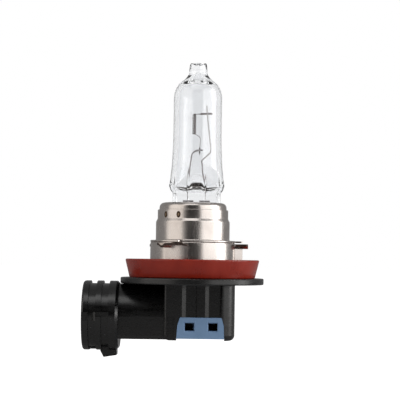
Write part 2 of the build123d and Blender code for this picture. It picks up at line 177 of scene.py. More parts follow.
def make_dark_card():
    """The unlit side of the studio behind the camera, which gives metal its dark middle band."""
    card = plane_object("dark_card", 0.72, 1.5, facing(0, 0, 0.9))
    card.data.materials.append(new_material("card_black", (0.012, 0.012, 0.012), roughness=0.9))
    card.visible_camera = False
    card.visible_transmission = False
    card.visible_shadow = False


# ---- materials ----

def new_material(name, colour, metallic=0.0, roughness=0.5):
    made = bpy.data.materials.new(name)
    made.use_nodes = True
    shader = made.node_tree.nodes["Principled BSDF"]
    shader.inputs["Base Color"].default_value = (*colour, 1)
    shader.inputs["Metallic"].default_value = metallic
    shader.inputs["Roughness"].default_value = roughness
    return made


def add(tree, kind, values=None, **settings):
    """A new node with its settings, its input values by name, and links where a value is a socket."""
    node = tree.nodes.new(kind)
    for key, value in settings.items():
        setattr(node, key, value)
    for key, value in (values or {}).items():
        if isinstance(value, bpy.types.NodeSocket):
            tree.links.new(value, node.inputs[key])
        else:
            node.inputs[key].default_value = value
    return node


def math_node(tree, operation, *values):
    node = tree.nodes.new("ShaderNodeMath")
    node.operation = operation
    for i, value in enumerate(values):
        if isinstance(value, bpy.types.NodeSocket):
            tree.links.new(value, node.inputs[i])
        else:
            node.inputs[i].default_value = value
    return node.outputs[0]


def ramp(tree, factor, stops):
    node = tree.nodes.new("ShaderNodeValToRGB")
    tree.links.new(factor, node.inputs[0])
    for element, (place, colour) in zip(node.color_ramp.elements[:], (stops[0], stops[-1])):
        element.position = place
        element.color = (*colour, 1)
    for place, colour in stops[1:-1]:
        node.color_ramp.elements.new(place).color = (*colour, 1)
    return node.outputs[0]


def object_point(tree, scale=(1, 1, 1)):
    """The surface point in the row frame, scaled per axis."""
    where = add(tree, "ShaderNodeTexCoord")
    sized = add(tree, "ShaderNodeMapping", {"Vector": where.outputs["Object"], "Scale": scale})
    return sized.outputs[0]


def around_axis(tree, turns_scale, height_scale):
    """A pattern place on a drum round the cap's axis, with its own scale round and along it.
    Streaks stand upright where the place changes faster round the axis than along it."""
    where = add(tree, "ShaderNodeTexCoord")
    parts = add(tree, "ShaderNodeSeparateXYZ", {"Vector": where.outputs["Object"]})
    angle = math_node(tree, "ARCTAN2", parts.outputs["Y"], parts.outputs["X"])
    around = math_node(tree, "MULTIPLY", math_node(tree, "SINE", angle), turns_scale)
    across = math_node(tree, "MULTIPLY", math_node(tree, "COSINE", angle), turns_scale)
    up = math_node(tree, "MULTIPLY", parts.outputs["Z"], height_scale)
    return add(tree, "ShaderNodeCombineXYZ", {"X": around, "Y": across, "Z": up}).outputs[0]


def noise(tree, place, scale, detail=2.0, roughness=0.5):
    values = {"Vector": place, "Scale": scale, "Detail": detail, "Roughness": roughness}
    return add(tree, "ShaderNodeTexNoise", values).outputs["Fac"]


def spread(tree, factor, low, high):
    """factor, mostly between 0.3 and 0.7, mapped to low..high."""
    values = {"Value": factor, "From Min": 0.3, "From Max": 0.7, "To Min": low, "To Max": high}
    return add(tree, "ShaderNodeMapRange", values).outputs[0]


def set_bump(tree, height, distance, strength=1.0):
    bump = add(tree, "ShaderNodeBump", {"Height": height, "Distance": distance, "Strength": strength})
    tree.links.new(bump.outputs[0], tree.nodes["Principled BSDF"].inputs["Normal"])


def link_shader(tree, socket, value):
    tree.links.new(value, tree.nodes["Principled BSDF"].inputs[socket])


def quartz_glass():
    made = new_material("quartz_glass", (0.868, 0.877, 0.89), roughness=0.0)
    tree = made.node_tree
    shader = tree.nodes["Principled BSDF"]
    shader.inputs["Transmission Weight"].default_value = 1.0
    shader.inputs["IOR"].default_value = 1.458
    shader.inputs["Coat Weight"].default_value = 0.4
    shader.inputs["Coat IOR"].default_value = 1.6
    shader.inputs["Coat Roughness"].default_value = 0.12
    drawn = noise(tree, around_axis(tree, 3.0, 25.0), 1.0, 1.0)
    set_bump(tree, drawn, 0.00004, 0.2)
    return made


def satin_nickel():
    made = new_material("satin_nickel", (0.7, 0.66, 0.62), metallic=1.0, roughness=0.24)
    tree = made.node_tree
    streaks = noise(tree, around_axis(tree, 55.0, 190.0), 1.0, 4.0, 0.6)
    clouds = noise(tree, object_point(tree), 300.0, 3.0)
    stops = [(0.3, (0.62, 0.565, 0.53)), (0.7, (0.72, 0.67, 0.635))]
    link_shader(tree, "Base Color", ramp(tree, clouds, stops))
    half_streaks = math_node(tree, "MULTIPLY", streaks, 0.5)
    half_clouds = math_node(tree, "MULTIPLY", clouds, 0.5)
    mixed = math_node(tree, "ADD", half_streaks, half_clouds)
    link_shader(tree, "Roughness", spread(tree, mixed, 0.19, 0.31))
    set_bump(tree, streaks, 0.00001, 0.35)
    return made


def cut_edge_painted_shade():
    """Where the sheet was cut through its plating: dull and a little rusty. Its near-black colour is also
    painted shade, standing in for the shadow under and beside the lugs and ears.
    """
    made = new_material("cut_edge_painted_shade", (0.06, 0.035, 0.028), metallic=0.4, roughness=0.5)
    tree = made.node_tree
    tone = noise(tree, object_point(tree), 2600.0, 4.0)
    stops = [(0.3, (0.025, 0.014, 0.011)), (0.6, (0.06, 0.036, 0.028)), (0.78, (0.2, 0.15, 0.12))]
    link_shader(tree, "Base Color", ramp(tree, tone, stops))
    link_shader(tree, "Roughness", spread(tree, tone, 0.4, 0.65))
    set_bump(tree, tone, 0.00004, 0.5)
    return made


def drawn_wire(name, dark, light, roughness):
    made = new_material(name, light, metallic=1.0, roughness=roughness)
    tree = made.node_tree
    tint = noise(tree, object_point(tree, (1, 1, 0.4)), 1600.0, 3.0)
    link_shader(tree, "Base Color", ramp(tree, tint, [(0.35, dark), (0.65, light)]))
    link_shader(tree, "Roughness", spread(tree, tint, roughness - 0.08, roughness + 0.1))
    set_bump(tree, noise(tree, object_point(tree, (1, 1, 0.15)), 9000.0, 3.0), 0.000008, 0.4)
    return made


def burnt_weld():
    """A dull light middle inside a dark brown burnt rim."""
    made = new_material("burnt_weld", (0.3, 0.2, 0.12), metallic=0.7, roughness=0.5)
    tree = made.node_tree
    where = add(tree, "ShaderNodeAttribute", attribute_name="spot").outputs["Fac"]
    wander = spread(tree, noise(tree, object_point(tree), 5000.0, 3.0), -0.12, 0.12)
    ragged = math_node(tree, "ADD", where, wander)
    stops = [(0.0, (0.3, 0.22, 0.15)), (0.4, (0.26, 0.18, 0.11)), (0.6, (0.035, 0.018, 0.01)),
             (0.86, (0.06, 0.032, 0.018)), (1.0, (0.35, 0.28, 0.21))]
    link_shader(tree, "Base Color", ramp(tree, ragged, stops))
    link_shader(tree, "Roughness", spread(tree, ragged, 0.4, 0.65))
    set_bump(tree, ragged, 0.00003, 0.5)
    return made


def red_silicone():
    made = new_material("red_silicone", (0.33, 0.021, 0.008), roughness=0.3)
    tree = made.node_tree
    tree.nodes["Principled BSDF"].inputs["Specular IOR Level"].default_value = 0.5
    tone = noise(tree, object_point(tree), 260.0, 4.0)
    skin = noise(tree, object_point(tree), 4200.0, 2.0)
    stops = [(0.3, (0.285, 0.015, 0.005)), (0.7, (0.375, 0.025, 0.009))]
    link_shader(tree, "Base Color", ramp(tree, tone, stops))
    link_shader(tree, "Roughness", spread(tree, tone, 0.24, 0.36))
    set_bump(tree, skin, 0.00002, 0.25)
    return made


def moulded_plastic(name, dark, light, roughness, grain_depth, shine=0.5):
    made = new_material(name, light, roughness=roughness)
    tree = made.node_tree
    tree.nodes["Principled BSDF"].inputs["Specular IOR Level"].default_value = shine
    tone = noise(tree, object_point(tree), 180.0, 4.0)
    grain = noise(tree, object_point(tree), 7000.0, 3.0, 0.6)
    flow = noise(tree, object_point(tree, (1, 1, 5)), 260.0, 2.0)
    link_shader(tree, "Base Color", ramp(tree, tone, [(0.3, dark), (0.7, light)]))
    link_shader(tree, "Roughness", spread(tree, flow, roughness - 0.06, roughness + 0.08))
    set_bump(tree, grain, grain_depth, 0.5)
    return made


def tinned_brass():
    made = new_material("tinned_brass", (0.8, 0.78, 0.72), metallic=1.0, roughness=0.3)
    tree = made.node_tree
    tone = noise(tree, object_point(tree, (1, 6, 6)), 500.0, 3.0)
    link_shader(tree, "Base Color", ramp(tree, tone, [(0.3, (0.7, 0.67, 0.6)), (0.7, (0.84, 0.82, 0.77))]))
    link_shader(tree, "Roughness", spread(tree, tone, 0.22, 0.4))
    set_bump(tree, tone, 0.00001, 0.4)
    return made


# ---- mesh helpers ----

def rounded(outline, steps=5):
    """An outline of (r, z) or (r, z, corner radius) points, with its corners turned into arcs."""
    points = []
    last = len(outline) - 1
    for i, corner in enumerate(outline):
        here = Vector(corner[:2])
        radius = corner[2] if len(corner) > 2 else 0
        if not radius:
            points.append(here)
            continue
        before = (Vector(outline[i - 1][:2]) - here).normalized()
        after = (Vector(outline[0 if i == last else i + 1][:2]) - here).normalized()
        half = before.angle(after) / 2
        reach = radius / math.tan(half)
        middle = here + (before + after).normalized() * (radius / math.sin(half))
        start = here + before * reach - middle
        turn = start.angle_signed(here + after * reach - middle)
        for k in range(steps + 1):
            a = -turn * k / steps
            x = start.x * math.cos(a) - start.y * math.sin(a)
            y = start.x * math.sin(a) + start.y * math.cos(a)
            points.append(middle + Vector((x, y)))
    return points


def mesh_object(name, mesh, sharp_degrees=40):
    mesh.shade_smooth()
    mesh.set_sharp_from_angle(angle=math.radians(sharp_degrees))
    made = bpy.data.objects.new(name, mesh)
    bpy.context.collection.objects.link(made)
    return made


def to_mesh(name, bm, sharp_degrees=40, scale=MM):
    """A finished object in metres from a bmesh in millimetres, with its faces turned outwards."""
    bmesh.ops.remove_doubles(bm, verts=bm.verts, dist=1e-4)
    bmesh.ops.recalc_face_normals(bm, faces=bm.faces)
    bmesh.ops.scale(bm, vec=(scale,) * 3, verts=bm.verts)
    mesh = bpy.data.meshes.new(name)
    bm.to_mesh(mesh)
    bm.free()
    return mesh_object(name, mesh, sharp_degrees)


def skin_rings(bm, rings, loop=False):
    """Faces between closed rings of vertices, each ring the same length; a one-point ring is a pole."""
    pairs = list(zip(rings, rings[1:])) + ([(rings[-1], rings[0])] if loop else [])
    for low, high in pairs:
        count = max(len(low), len(high))
        for i in range(count):
            j = (i + 1) % count
            if len(low) == 1:
                bm.faces.new((low[0], high[j], high[i]))
            elif len(high) == 1:
                bm.faces.new((low[i], low[j], high[0]))
            else:
                bm.faces.new((low[i], low[j], high[j], high[i]))


def lathe(name, outline, axis_x=0.0, segments=160, closed=True):
    """A turned piece. A closed outline is a ring's section; an open one starts and ends on the axis."""
    bm = bmesh.new()
    rings = []
    for r, z in rounded(outline):
        if r < 1e-6:
            rings.append([bm.verts.new((axis_x, 0, z))])
            continue
        angles = [2 * math.pi * i / segments for i in range(segments)]
        rings.append([bm.verts.new((axis_x + r * math.cos(a), r * math.sin(a), z)) for a in angles])
    skin_rings(bm, rings, loop=closed)
    return to_mesh(name, bm)


def baked(name, source):
    """source with its modifiers applied, as a plain mesh object; source is removed."""
    graph = bpy.context.evaluated_depsgraph_get()
    mesh = bpy.data.meshes.new_from_object(source.evaluated_get(graph), depsgraph=graph)
    made = bpy.data.objects.new(name, mesh)
    bpy.context.collection.objects.link(made)
    bpy.data.objects.remove(source)
    return made


def combined(base, others, operation):
    """base joined with, or cut by, other closed pieces."""
    for other in others:
        modifier = base.modifiers.new("combine", "BOOLEAN")
        modifier.operation = operation
        modifier.solver = "EXACT"
        modifier.object = other
    name = base.name
    base.name = name + "_raw"
    made = baked(name, base)
    for other in others:
        bpy.data.objects.remove(other)
    made.data.shade_smooth()
    made.data.set_sharp_from_angle(angle=math.radians(40))
    return made


def wire(name, points, radius, sides=12, order=3):
    """A round wire along a smooth line near the points, in millimetres, as a mesh."""
    curve = bpy.data.curves.new(name + "_line", "CURVE")
    curve.dimensions = "3D"
    curve.bevel_depth = radius * MM
    curve.bevel_resolution = sides // 4
    curve.use_fill_caps = True
    curve.resolution_u = 10
    spline = curve.splines.new("NURBS")
    spline.points.add(len(points) - 1)
    for target, point in zip(spline.points, points):
        target.co = (*(Vector(point[:3]) * MM), 1)
        if len(point) > 3:
            target.radius = point[3]
    spline.order_u = order
    spline.use_endpoint_u = True
    line = bpy.data.objects.new(name + "_line", curve)
    bpy.context.collection.objects.link(line)
    made = baked(name, line)
    made.data.shade_smooth()
    return made


def joined(name, parts):
    """Several mesh objects as one."""
    bm = bmesh.new()
    for part in parts:
        bm.from_mesh(part.data)
        bpy.data.objects.remove(part)
    mesh = bpy.data.meshes.new(name)
    bm.to_mesh(mesh)
    bm.free()
    mesh.shade_smooth()
    made = bpy.data.objects.new(name, mesh)
    bpy.context.collection.objects.link(made)
    return made


def finish_piece(piece, material, slot, *nodes, body="lamp", second=None):
    """Gives a new piece its finish, or two, and its body, and hides the CAD nodes it stands for."""
    which = [face.material_index for face in piece.data.polygons]
    piece.data.materials.clear()
    piece.data.materials.append(material)
    if second:
        piece.data.materials.append(second)
        piece.data.polygons.foreach_set("material_index", which)
    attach(piece, body)
    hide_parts(*nodes)


# ---- geometry nodes: wound wire and weld spots ----

def new_tree(name, inputs):
    tree = bpy.data.node_groups.new(name, "GeometryNodeTree")
    tree.interface.new_socket("Geometry", in_out="OUTPUT", socket_type="NodeSocketGeometry")
    for label, kind, value in inputs:
        socket = tree.interface.new_socket(label, in_out="INPUT", socket_type=kind)
        if value is not None:
            socket.default_value = value
    return tree


def ended(tree, geometry, material):
    """The tree with its last nodes: instances made real, and the material set."""
    real = add(tree, "GeometryNodeRealizeInstances", {"Geometry": geometry})
    painted = add(tree, "GeometryNodeSetMaterial", {"Geometry": real.outputs[0], "Material": material})
    tree.links.new(painted.outputs[0], tree.nodes.new("NodeGroupOutput").inputs["Geometry"])
    return tree


def run_tree(name, tree, values):
    """The mesh that a node tree makes with these values of its named inputs."""
    holder = bpy.data.objects.new(name + "_tree", bpy.data.meshes.new(name + "_tree"))
    bpy.context.collection.objects.link(holder)
    modifier = holder.modifiers.new("build", "NODES")
    modifier.node_group = tree
    for item in tree.interface.items_tree:
        if item.in_out == "INPUT" and item.name in values:
            modifier[item.identifier] = values[item.name]
    return baked(name, holder)


def wound_wire_tree():
    """A helix of round wire, placed and turned."""
    tree = new_tree("wound_wire", [
        ("Turns", "NodeSocketFloat", 12.0),
        ("Coil Radius", "NodeSocketFloat", 0.0004),
        ("Wire Radius", "NodeSocketFloat", 0.0001),
        ("Height", "NodeSocketFloat", 0.005),
        ("Place", "NodeSocketVector", (0, 0, 0)),
        ("Turn", "NodeSocketVector", (0, 0, 0)),
        ("Material", "NodeSocketMaterial", None),
    ])
    given = tree.nodes.new("NodeGroupInput").outputs
    spiral = add(tree, "GeometryNodeCurveSpiral", {
        "Resolution": 24,
        "Rotations": given["Turns"],
        "Start Radius": given["Coil Radius"],
        "End Radius": given["Coil Radius"],
        "Height": given["Height"],
    })
    section = add(tree, "GeometryNodeCurvePrimitiveCircle", {
        "Resolution": 10,
        "Radius": given["Wire Radius"],
    })
    swept = add(tree, "GeometryNodeCurveToMesh", {
        "Curve": spiral.outputs[0],
        "Profile Curve": section.outputs[0],
        "Fill Caps": True,
    })
    placed = add(tree, "GeometryNodeTransform", {
        "Geometry": swept.outputs[0],
        "Translation": given["Place"],
        "Rotation": given["Turn"],
    })
    return ended(tree, placed.outputs[0], given["Material"])


def weld_spot_tree():
    """Low oval domes round the sleeve, in pairs. Each keeps its distance from its own middle as 'spot'."""
    tree = new_tree("weld_spot_pairs", [
        ("Pairs", "NodeSocketInt", 2),
        ("Sleeve Radius", "NodeSocketFloat", 0.008),
        ("Height", "NodeSocketFloat", 0.007),
        ("First Angle", "NodeSocketFloat", 0.0),
        ("Pair Angle", "NodeSocketFloat", 0.4),
        ("Spot Size", "NodeSocketVector", (0.00005, 0.0005, 0.0007)),
        ("Material", "NodeSocketMaterial", None),
    ])
    given = tree.nodes.new("NodeGroupInput").outputs
    dome = add(tree, "GeometryNodeMeshUVSphere", {"Segments": 28, "Rings": 16, "Radius": 1.0})
    place = add(tree, "GeometryNodeInputPosition").outputs[0]
    flat = add(tree, "ShaderNodeVectorMath", {0: place, 1: (0, 1, 1)}, operation="MULTIPLY").outputs[0]
    reach = add(tree, "ShaderNodeVectorMath", {0: flat}, operation="LENGTH").outputs["Value"]
    marked = add(tree, "GeometryNodeStoreNamedAttribute", {
        "Geometry": dome.outputs[0],
        "Name": "spot",
        "Value": reach,
    }, data_type="FLOAT", domain="POINT")
    sized = add(tree, "GeometryNodeTransform", {"Geometry": marked.outputs[0], "Scale": given["Spot Size"]})
    count = math_node(tree, "MULTIPLY", given["Pairs"], 2.0)
    points = add(tree, "GeometryNodePoints", {"Count": count})
    index = add(tree, "GeometryNodeInputIndex").outputs[0]
    second = math_node(tree, "MODULO", index, 2.0)
    pair = math_node(tree, "FLOOR", math_node(tree, "DIVIDE", index, 2.0))
    step = math_node(tree, "DIVIDE", 2 * math.pi, given["Pairs"])
    angle = math_node(tree, "ADD", math_node(tree, "MULTIPLY", pair, step), given["First Angle"])
    angle = math_node(tree, "ADD", angle, math_node(tree, "MULTIPLY", second, given["Pair Angle"]))
    x = math_node(tree, "MULTIPLY", math_node(tree, "COSINE", angle), given["Sleeve Radius"])
    y = math_node(tree, "MULTIPLY", math_node(tree, "SINE", angle), given["Sleeve Radius"])
    spot = add(tree, "ShaderNodeCombineXYZ", {"X": x, "Y": y, "Z": given["Height"]}).outputs[0]
    moved = add(tree, "GeometryNodeSetPosition", {"Geometry": points.outputs[0], "Position": spot})
    turn = add(tree, "ShaderNodeCombineXYZ", {"Z": angle}).outputs[0]
    spots = add(tree, "GeometryNodeInstanceOnPoints", {
        "Points": moved.outputs[0],
        "Instance": sized.outputs[0],
        "Rotation": turn,
    })
    return ended(tree, spots.outputs[0], given["Material"])


# ---- the quartz envelope ----

GLASS_SIDES = 240
PINCH_HALF_WIDTH = 5.4
PINCH_WEB = 1.2
PINCH_RIB = 1.65
BAND_HALF_WIDTH = 1.75
EDGE_WIDTH = 0.9


def ease(low, high, value):
    t = min(max((value - low) / (high - low), 0.0), 1.0)
    return t * t * (3 - 2 * t)


def pinch_point(angle):
    """A point on the pinch's section: a slab with a raised band down its middle and along both edges."""
    x = PINCH_HALF_WIDTH * math.cos(angle)
    across = abs(x)
    band = 1 - ease(BAND_HALF_WIDTH - 0.02, BAND_HALF_WIDTH + 0.12, across)
    edge = ease(PINCH_HALF_WIDTH - EDGE_WIDTH - 0.12, PINCH_HALF_WIDTH - EDGE_WIDTH + 0.02, across)
    half = PINCH_WEB + (PINCH_RIB - PINCH_WEB) * max(band, edge)
    end = (1 - abs(math.cos(angle)) ** 14) ** (1 / 5)
    return x, math.copysign(half * end, math.sin(angle))


def envelope_section(z, half_x, radius, pressed):
    """One ring of the outer skin: a round that turns into the pinch's section as pressed goes from 0 to 1."""
    ring = []
    for i in range(GLASS_SIDES):
        a = 2 * math.pi * i / GLASS_SIDES
        flat = pinch_point(a)[1]
        y = radius * math.sin(a) * (1 - pressed) + flat * pressed
        ring.append((BURNER_X + half_x * math.cos(a), y, z))
    return ring


def add_ring(bm, points):
    return [bm.verts.new(point) for point in points]


def horn(angle, direction, height, width):
    """A splinter left on the rim of the tip: its height at this angle."""
    return height * math.exp(-((math.sin((angle - direction) / 2)) ** 2) / width)


def tip_point(z, radius, angle):
    """The broken-off exhaust tip: its rim is uneven, with two low horns and a dip between."""
    share = ease(TIP_Z - 2.2, TIP_Z - 0.4, z)
    horns = horn(angle, 2.9, 0.32, 0.03) + horn(angle, 0.35, 0.22, 0.05)
    wave = 0.1 * math.sin(3 * angle + 0.7) + 0.06 * math.sin(5 * angle + 2.1)
    r = radius * (1 + 0.05 * share * math.sin(2 * angle + 0.6) + 0.03 * share * math.sin(5 * angle))
    return (BURNER_X + r * math.cos(angle), r * math.sin(angle), z + share * (horns + wave - 0.3))


def cavity_floor(x):
    """The height of the cavity's floor: lowest beside the raised middle, and rising again to its two ends."""
    return 13.45 + 0.85 * (1 - ease(0.6, 2.1, abs(x))) + 0.4 * ease(1.9, 4.7, abs(x))


def cavity_section(z, half_x, half_y, follow):
    """An oval ring of the cavity at height z. follow is how far it takes the shape of the floor below it."""
    ring = []
    for i in range(GLASS_SIDES):
        a = 2 * math.pi * i / GLASS_SIDES
        x = half_x * math.cos(a)
        ring.append((BURNER_X + x, half_y * math.sin(a), z + follow * (cavity_floor(x) - 13.9)))
    return ring


def make_envelope():
    bm = bmesh.new()
    rings = []
    bottom = PINCH_BOTTOM_Z
    rings.append([bm.verts.new((BURNER_X, 0, bottom))])
    foot = envelope_section(bottom, PINCH_HALF_WIDTH, 0, 1)
    inset = [(BURNER_X + (x - BURNER_X) * 0.96, y * 0.9, z) for x, y, z in foot]
    rings.append(add_ring(bm, inset))
    for z in (bottom + 0.15, 3.0, 6.0, 9.0, 10.8):
        rings.append(add_ring(bm, envelope_section(z, PINCH_HALF_WIDTH, 0, 1)))
    belly = BELLY_R - 0.01
    # height, half width, and how far it is pressed to the pinch's section
    shoulder = ((11.6, 5.4, 0.99), (12.1, 5.41, 0.965), (12.4, 5.44, 0.93), (12.65, 5.55, 0.905),
                (12.85, 5.72, 0.885), (13.1, 5.9, 0.86), (13.5, 6.03, 0.806), (13.9, belly, 0.74),
                (14.3, belly, 0.65), (14.8, 6.07, 0.525), (15.4, 6.03, 0.384), (16.0, 5.96, 0.258),
                (16.7, 5.87, 0.135), (17.5, 5.77, 0.04), (18.1, 5.71, 0.005))
    for z, half_x, pressed in shoulder:
        rings.append(add_ring(bm, envelope_section(z, half_x, half_x, pressed)))
    wall = ((18.6, 5.67), (19.5, 5.62), (21.3, 5.54), (23.0, 5.46), (24.5, 5.43), (27.0, 5.42),
            (30.0, 5.42), (33.0, 5.42))
    for z, radius in wall:
        rings.append(add_ring(bm, envelope_section(z, radius, radius, 0)))
    dome_low, dome_high = 33.9, 37.75
    sweep, steps = math.radians(58), 12
    for k in range(steps + 1):
        a = sweep * k / steps
        radius = 1.42 + 4.0 * math.cos(a)
        z = dome_low + (dome_high - dome_low) * math.sin(a) / math.sin(sweep)
        rings.append(add_ring(bm, envelope_section(z, radius, radius, 0)))
    neck = ((37.98, 3.22), (38.25, 2.92), (38.55, 2.65), (38.85, 2.42), (39.15, 2.24), (39.45, 2.12),
            (39.62, 2.14), (39.8, 2.06), (40.2, 2.02), (40.7, 1.97), (41.2, 1.9), (41.6, 1.83),
            (41.82, 1.76), (41.94, 1.62), (41.96, 1.42), (41.86, 1.2), (41.7, 0.95), (41.55, 0.6),
            (41.5, 0.3))
    for z, radius in neck:
        angles = [2 * math.pi * i / GLASS_SIDES for i in range(GLASS_SIDES)]
        rings.append(add_ring(bm, [tip_point(z, radius, a) for a in angles]))
    rings.append([bm.verts.new((BURNER_X, 0, 41.2))])
    skin_rings(bm, rings)
    bmesh.ops.recalc_face_normals(bm, faces=bm.faces)
    outer = set(bm.faces)

    hollow = [[bm.verts.new((BURNER_X, 0, cavity_floor(0)))]]
    for grow in (0.3, 0.6, 0.85, 0.96, 1.0):
        hollow.append(add_ring(bm, cavity_section(13.9 + 0.08 * grow ** 2, 4.7 * grow, 0.6 * grow, 1.0)))
    # height, half width, half depth, and how far it follows the floor
    opening = ((14.05, 4.8, 0.85, 0.97), (14.3, 4.88, 1.3, 0.85), (14.7, 4.92, 1.9, 0.6),
               (15.2, 4.92, 2.55, 0.32), (15.85, 4.87, 3.25, 0.12), (16.6, 4.8, 3.9, 0),
               (17.5, 4.7, 4.38, 0), (18.5, 4.6, 4.53, 0), (20.0, 4.5, 4.48, 0), (22.0, 4.4, 4.4, 0),
               (24.5, 4.33, 4.33, 0), (28.0, 4.32, 4.32, 0), (32.0, 4.32, 4.32, 0),
               (33.9, 4.32, 4.32, 0))
    for z, rx, ry, follow in opening:
        hollow.append(add_ring(bm, cavity_section(z, rx, ry, follow)))
    top = ((34.6, 4.26), (35.2, 4.1), (35.7, 3.86), (36.15, 3.52), (36.5, 3.12), (36.8, 2.65),
           (37.05, 2.2), (37.35, 1.75), (37.75, 1.38), (38.2, 1.1), (38.7, 0.88), (39.2, 0.66),
           (39.5, 0.35))
    for z, radius in top:
        ring = []
        for i in range(GLASS_SIDES):
            a = 2 * math.pi * i / GLASS_SIDES
            wobble = 1 + 0.03 * ease(36.0, 37.2, z) * math.sin(3 * a + 0.4)
            ring.append((BURNER_X + radius * wobble * math.cos(a), radius * wobble * math.sin(a), z))
        hollow.append(add_ring(bm, ring))
    hollow.append([bm.verts.new((BURNER_X, 0, 39.6))])
    skin_rings(bm, hollow)
    inner = [face for face in bm.faces if face not in outer]
    bmesh.ops.recalc_face_normals(bm, faces=inner)
    bmesh.ops.reverse_faces(bm, faces=inner)
    bmesh.ops.scale(bm, vec=(MM,) * 3, verts=bm.verts)
    mesh = bpy.data.meshes.new("quartz_envelope")
    bm.to_mesh(mesh)
    bm.free()
    mesh.shade_smooth()
    made = bpy.data.objects.new("quartz_envelope", mesh)
    bpy.context.collection.objects.link(made)
    return made


# ---- filament and wires ----

COIL_TURNS = 12
COIL_R = 0.36
COIL_WIRE_R = 0.1
COIL_Z = (25.72, 30.3)
LEG_Y = 0.4


def make_filament(tree, material):
    coil = run_tree("coil", tree, {
        "Turns": float(COIL_TURNS) + 0.25,
        "Coil Radius": COIL_R * MM,
        "Wire Radius": COIL_WIRE_R * MM,
        "Height": (COIL_Z[1] - COIL_Z[0]) * MM,
        "Place": (0, 0, COIL_Z[0] * MM),
        "Turn": (0, 0, 0),
        "Material": material,
    })
    upper_points = [(-0.25, 0.3, 30.25), (0.1, 0.42, 30.3), (1.0, LEG_Y, 30.36), (2.4, LEG_Y, 30.42),
                    (4.1, LEG_Y, 30.5)]
    lower_points = [(0.31, 0.0, 25.74), (0.6, 0.2, 25.55), (1.2, 0.36, 25.3), (1.5, LEG_Y, 24.7),
                    (1.43, LEG_Y, 24.2), (1.3, LEG_Y, 22.5), (1.27, LEG_Y, 21.0)]
    upper = wire("upper_leg", upper_points, 0.07)
    lower = wire("lower_leg", lower_points, 0.055)
    return joined("filament_coil", [coil, upper, lower])


def make_leg_windings(tree, material):
    upper = run_tree("upper_leg_winding", tree, {
        "Turns": 17.0,
        "Coil Radius": 0.17 * MM,
        "Wire Radius": 0.08 * MM,
        "Height": 2.7 * MM,
        "Place": (1.42 * MM, LEG_Y * MM, 30.38 * MM),
        "Turn": (0, math.radians(90) - 0.045, 0),
        "Material": material,
    })
    lower = run_tree("lower_leg_winding", tree, {
        "Turns": 10.0,
        "Coil Radius": 0.11 * MM,
        "Wire Radius": 0.055 * MM,
        "Height": 1.3 * MM,
        "Place": (1.285 * MM, LEG_Y * MM, 21.45 * MM),
        "Turn": (0, 0.02, 0),
        "Material": material,
    })
    for winding in (upper, lower):
        winding.data.shade_smooth()
    return upper, lower


SUPPORT_WIRE_R = 0.16


def make_long_wire():
    points = [(2.55, 0, 9.6), (2.5, 0, 12.0), (2.36, 0, 14.6), (2.05, 0, 16.8), (1.86, 0, 19.0),
              (1.76, 0, 19.5), (1.95, 0, 19.9), (3.55, 0, 21.4), (3.82, 0, 21.75), (3.84, 0, 22.4),
              (3.36, 0, 26.5), (2.9, 0, 30.5), (2.8, 0, 32.2)]
    return wire("long_support", points, SUPPORT_WIRE_R)


def make_short_wire():
    """Its last three points also say how many times thicker the wire is there."""
    points = [(-1.15, 0, 9.6), (-1.22, 0, 12.0), (-1.14, 0, 15.0), (-0.92, 0, 16.9), (-0.7, 0, 19.2),
              (-0.52, 0, 20.7), (-0.38, 0, 21.3), (0.0, 0, 21.7), (0.75, 0, 22.05, 1.5),
              (1.3, 0, 22.12, 1.3), (2.05, 0, 22.12, 1.0)]
    return wire("short_support", points, SUPPORT_WIRE_R)


# ---- the metal cap ----

SHEET = 0.35
SLEEVE_UPPER_R = 7.93
RING_R = 9.5
LUG_DIRECTIONS = (-112.4, 7.6, 127.6)


def rounded_prism(name, half_x, half_y, z, centre_x, corner):
    """An upright block with rounded corners."""
    bm = bmesh.new()
    outline = rounded([(-half_x, -half_y, corner), (half_x, -half_y, corner),
                       (half_x, half_y, corner), (-half_x, half_y, corner)])
    rings = [[bm.verts.new((centre_x + x, y, level)) for x, y in outline] for level in z]
    skin_rings(bm, rings)
    bm.faces.new(rings[0])
    bm.faces.new(rings[1])
    return to_mesh(name, bm)


def make_cup():
    radius = (cup_high.x - cup_low.x) / 2
    top, bottom = cup_high.z, cup_low.z
    outline = [(0, top), (radius, top, 1.1), (radius, bottom, 0.12), (radius - SHEET, bottom, 0.12),
               (radius - SHEET, top - SHEET, 0.75), (0, top - SHEET)]
    cup = lathe("burner_cup_skin", outline, closed=False)
    play = 0.17
    slot = rounded_prism("slot", PINCH_HALF_WIDTH + play, PINCH_RIB + play, (5, top + 1), BURNER_X, 0.4)
    return combined(cup, [slot], "DIFFERENCE")


def make_sleeve():
    upper, lower = SLEEVE_UPPER_R, 8.29
    top, flange_top, flange_bottom = sleeve_high.z, 1.75, sleeve_low.z
    outline = [(upper - SHEET, top, 0.1), (upper, top, 0.12), (upper, 6.6, 0.5), (lower, 5.9, 0.7),
               (lower, flange_top, 0.25), (RING_R, flange_top, 0.12), (RING_R, flange_bottom, 0.05),
               (lower - SHEET, flange_bottom, 0.3), (lower - SHEET, 5.9, 0.4), (upper - SHEET, 6.55, 0.7)]
    sleeve = lathe("cap_sleeve_skin", outline)
    ears = []
    for direction in LUG_DIRECTIONS:
        ears.append(plate("ear", direction, 16, (RING_R - 0.5, 11.3), flange_bottom, flange_top - 0.05))
    # The ears' end faces take the dark cut-edge finish, which is partly painted shade.
    return with_cut_edges(combined(sleeve, ears, "UNION"), 9.7, 0, only_ends=True)


LUG_R = 12.5
LUG_WIDTH = 34
BEAD_OFFSET = -10


